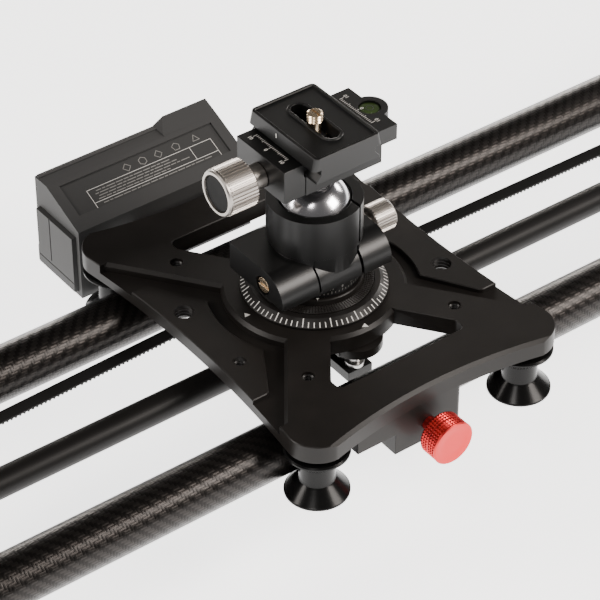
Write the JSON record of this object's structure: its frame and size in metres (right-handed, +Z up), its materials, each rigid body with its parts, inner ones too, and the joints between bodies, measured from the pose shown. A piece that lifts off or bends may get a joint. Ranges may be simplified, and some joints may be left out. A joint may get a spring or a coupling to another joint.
{
  "type": "camera slider",
  "caption": "Motorised camera slider: carbon tube rails, belt-driven rolling carriage with pan dial, ball head and quick-release plate.",
  "frame": {"origin": "on the floor below the middle of the slider, where the carriage rests", "axes": "+X along the rails, +Y to the side of the motor box, +Z up"},
  "size_m": [0.8132, 0.26, 0.1662],
  "materials": {
    "carbon_tube": "twill carbon fibre under clear gloss",
    "black_rod": "satin black",
    "black_anodised": "bead-blasted black anodised",
    "roller_black": "turned and polished black",
    "bright_steel": "plain steel",
    "rubber_black": "moulded rubber",
    "moulded_black": "fine spark texture",
    "label_black": "printed label",
    "circuit_green": "solder mask",
    "follower_plastic": "turned acetal",
    "pulley_alloy": "machined",
    "red_anodised": "red anodised, knurled",
    "dial_black": "anodised with white engraved marks",
    "head_black": "satin black anodised",
    "silver_knurled": "fluted, satin silver",
    "ball_chrome": "polished",
    "gold_screw": "zinc passivated, yellowish",
    "vial_green": "clear green spirit vial"
  },
  "bodies": {
    "root": {"front_rail_tube": "carbon_tube", "back_rail_tube": "carbon_tube", "middle_rod": "black_rod", "left_end_block": "black_anodised", "right_end_block": "black_anodised", "rail_screws": "bright_steel", "belt_clamps": "black_anodised", "belt_clamp_screws": "bright_steel", "end_bumpers": "rubber_black", "leg_pivot_bolts": "bright_steel", "left_belt_run": "rubber_black", "right_belt_run": "rubber_black"},
    "carriage": {"carriage_plate": "black_anodised", "roller_axles": "bright_steel", "roller_bearings": "bright_steel", "brake_block": "black_anodised", "follower_bush": "follower_plastic", "follower_pin": "bright_steel", "motor_box_case": "moulded_black", "motor_box_lid": "label_black", "control_board": "circuit_green", "drive_motor": "bright_steel", "motor_bracket": "black_anodised", "belt_loop": "rubber_black"},
    "pan_dial": {"pan_dial": "dial_black", "pan_shaft": "black_anodised", "ribbed_platform": "dial_black", "linkage_arm": "black_anodised"},
    "ball_head": {"head_housing": "head_black"},
    "clamp": {"clamp_body": "head_black", "bubble_level": "vial_green"},
    "clamp_knob": {"clamp_knob": "silver_knurled", "clamp_knob_cap": "moulded_black"},
    "front_left_leg": {"front_left_leg": "black_anodised"},
    "front_left_foot": {"front_left_foot": "rubber_black"},
    "front_left_roller": {"front_left_roller": "roller_black"},
    "front_right_leg": {"front_right_leg": "black_anodised"},
    "front_right_foot": {"front_right_foot": "rubber_black"},
    "front_right_roller": {"front_right_roller": "roller_black"},
    "back_left_leg": {"back_left_leg": "black_anodised"},
    "back_left_foot": {"back_left_foot": "rubber_black"},
    "back_left_roller": {"back_left_roller": "roller_black"},
    "back_right_leg": {"back_right_leg": "black_anodised"},
    "back_right_foot": {"back_right_foot": "rubber_black"},
    "back_right_roller": {"back_right_roller": "roller_black"},
    "drive_pulley": {"drive_pulley": "pulley_alloy"},
    "left_guide_wheel": {"left_guide_wheel": "moulded_black"},
    "right_guide_wheel": {"right_guide_wheel": "moulded_black"},
    "brake_pad": {"brake_pad": "rubber_black"},
    "brake_knob": {"brake_knob": "red_anodised"},
    "battery_pack": {"battery_pack": "moulded_black"},
    "power_button": {"power_button": "moulded_black"},
    "mode_button": {"mode_button": "moulded_black"},
    "friction_screw": {"friction_screw": "gold_screw"},
    "ball_lock_knob": {"ball_lock_knob": "silver_knurled"},
    "head_ball": {"head_ball": "ball_chrome"},
    "sliding_jaw": {"sliding_jaw": "head_black"},
    "quick_release_plate": {"quick_release_plate": "head_black"},
    "screw_retainer": {"screw_retainer": "bright_steel"},
    "camera_screw": {"camera_screw": "gold_screw"}
  },
  "joints": [
    {"name": "carriage_slide", "type": "slide", "parent": "root", "child": "carriage", "axis": [1, 0, 0], "range_m": [-0.305, 0.305], "deforming": ["left_belt_run", "right_belt_run"]},
    {"name": "front_left_roller_spin", "type": "hinge", "parent": "carriage", "child": "front_left_roller", "pos_m": [-0.0508, -0.0694, 0.06], "axis": [0, 0, 1], "range_deg": [-2335, 2335]},
    {"name": "front_left_leg_swing", "type": "hinge", "parent": "root", "child": "front_left_leg", "pos_m": [-0.392, -0.044, 0.031], "axis": [0, 0, 1], "range_deg": [0, 90]},
    {"name": "front_left_foot_screw", "type": "slide", "parent": "front_left_leg", "child": "front_left_foot", "axis": [0, 0, 1], "range_m": [-0.0028, 0.005]},
    {"name": "front_right_roller_spin", "type": "hinge", "parent": "carriage", "child": "front_right_roller", "pos_m": [0.0508, -0.0694, 0.06], "axis": [0, 0, 1], "range_deg": [-2335, 2335]},
    {"name": "front_right_leg_swing", "type": "hinge", "parent": "root", "child": "front_right_leg", "pos_m": [0.392, -0.044, 0.031], "axis": [0, 0, 1], "range_deg": [-90, 0]},
    {"name": "front_right_foot_screw", "type": "slide", "parent": "front_right_leg", "child": "front_right_foot", "axis": [0, 0, 1], "range_m": [-0.0028, 0.005]},
    {"name": "back_left_roller_spin", "type": "hinge", "parent": "carriage", "child": "back_left_roller", "pos_m": [-0.0508, 0.0694, 0.06], "axis": [0, 0, 1], "range_deg": [-2335, 2335]},
    {"name": "back_left_leg_swing", "type": "hinge", "parent": "root", "child": "back_left_leg", "pos_m": [-0.392, 0.044, 0.031], "axis": [0, 0, 1], "range_deg": [-90, 0]},
    {"name": "back_left_foot_screw", "type": "slide", "parent": "back_left_leg", "child": "back_left_foot", "axis": [0, 0, 1], "range_m": [-0.0028, 0.005]},
    {"name": "back_right_roller_spin", "type": "hinge", "parent": "carriage", "child": "back_right_roller", "pos_m": [0.0508, 0.0694, 0.06], "axis": [0, 0, 1], "range_deg": [-2335, 2335]},
    {"name": "back_right_leg_swing", "type": "hinge", "parent": "root", "child": "back_right_leg", "pos_m": [0.392, 0.044, 0.031], "axis": [0, 0, 1], "range_deg": [0, 90]},
    {"name": "back_right_foot_screw", "type": "slide", "parent": "back_right_leg", "child": "back_right_foot", "axis": [0, 0, 1], "range_m": [-0.0028, 0.005]},
    {"name": "drive_pulley_spin", "type": "hinge", "parent": "carriage", "child": "drive_pulley", "pos_m": [0, 0.034, 0.055], "axis": [0, 1, 0], "range_deg": [-2750, 2750]},
    {"name": "left_guide_wheel_spin", "type": "hinge", "parent": "carriage", "child": "left_guide_wheel", "pos_m": [-0.016, 0.034, 0.0626], "axis": [0, 1, 0], "range_deg": [-3500, 3500]},
    {"name": "right_guide_wheel_spin", "type": "hinge", "parent": "carriage", "child": "right_guide_wheel", "pos_m": [0.016, 0.034, 0.055], "axis": [0, 1, 0], "range_deg": [-3500, 3500]},
    {"name": "brake_pad_press", "type": "slide", "parent": "carriage", "child": "brake_pad", "axis": [0, 1, 0], "range_m": [0, 0.0014]},
    {"name": "brake_knob_turn", "type": "hinge", "parent": "brake_pad", "child": "brake_knob", "pos_m": [0, -0.085, 0.06], "axis": [0, 1, 0], "range_deg": [-509, 509]},
    {"name": "battery_release", "type": "slide", "parent": "carriage", "child": "battery_pack", "axis": [-1, 0, 0], "range_m": [0, 0.06]},
    {"name": "power_button_press", "type": "slide", "parent": "carriage", "child": "power_button", "axis": [0, -1, 0], "range_m": [0, 0.0008], "stiffness_N_per_m": 400},
    {"name": "mode_button_press", "type": "slide", "parent": "carriage", "child": "mode_button", "axis": [0, -1, 0], "range_m": [0, 0.0008], "stiffness_N_per_m": 400},
    {"name": "dial_pan", "type": "hinge", "parent": "carriage", "child": "pan_dial", "pos_m": [0, 0, 0.083], "axis": [0, 0, 1], "range_deg": [-90, 90]},
    {"name": "head_pan", "type": "hinge", "parent": "pan_dial", "child": "ball_head", "pos_m": [0, 0, 0.095], "axis": [0, 0, 1], "continuous": true},
    {"name": "friction_screw_turn", "type": "hinge", "parent": "ball_head", "child": "friction_screw", "pos_m": [-0.025, -0.006, 0.099], "axis": [1, 0, 0], "range_deg": [-360, 360]},
    {"name": "ball_lock_turn", "type": "hinge", "parent": "ball_head", "child": "ball_lock_knob", "pos_m": [0.03, 0, 0.101], "axis": [1, 0, 0], "range_deg": [-270, 270]},
    {"name": "ball_pitch", "type": "hinge", "parent": "ball_head", "child": "head_ball", "pos_m": [0, 0, 0.119], "axis": [1, 0, 0], "range_deg": [-25, 25]},
    {"name": "ball_roll", "type": "hinge", "parent": "head_ball", "child": "clamp", "pos_m": [0, 0, 0.119], "axis": [0, 1, 0], "range_deg": [-25, 25]},
    {"name": "jaw_slide", "type": "slide", "parent": "clamp", "child": "sliding_jaw", "axis": [-1, 0, 0], "range_m": [0, 0.0025]},
    {"name": "clamp_knob_turn", "type": "hinge", "parent": "sliding_jaw", "child": "clamp_knob", "pos_m": [-0.038, 0.0015, 0.1464], "axis": [-1, 0, 0], "range_deg": [-725, 725]},
    {"name": "plate_shift", "type": "slide", "parent": "clamp", "child": "quick_release_plate", "axis": [0, 1, 0], "range_m": [-0.01, 0.01]},
    {"name": "camera_screw_shift", "type": "slide", "parent": "quick_release_plate", "child": "screw_retainer", "axis": [0, 1, 0], "range_m": [-0.008, 0.008]},
    {"name": "camera_screw_turn", "type": "hinge", "parent": "screw_retainer", "child": "camera_screw", "pos_m": [0, 0, 0.158], "axis": [0, 0, 1], "continuous": true}
  ],
  "couplings": [
    {"joint": "front_left_roller_spin", "follows": "carriage_slide", "rad_per_m": 133.33},
    {"joint": "front_right_roller_spin", "follows": "carriage_slide", "rad_per_m": 133.33},
    {"joint": "back_left_roller_spin", "follows": "carriage_slide", "rad_per_m": -133.33},
    {"joint": "back_right_roller_spin", "follows": "carriage_slide", "rad_per_m": -133.33},
    {"joint": "drive_pulley_spin", "follows": "carriage_slide", "rad_per_m": -157.08},
    {"joint": "left_guide_wheel_spin", "follows": "carriage_slide", "rad_per_m": 200},
    {"joint": "right_guide_wheel_spin", "follows": "carriage_slide", "rad_per_m": 200},
    {"joint": "brake_knob_turn", "follows": "brake_pad_press", "rad_per_m": 6283.2},
    {"joint": "clamp_knob_turn", "follows": "jaw_slide", "rad_per_m": 5026.5}
  ]
}
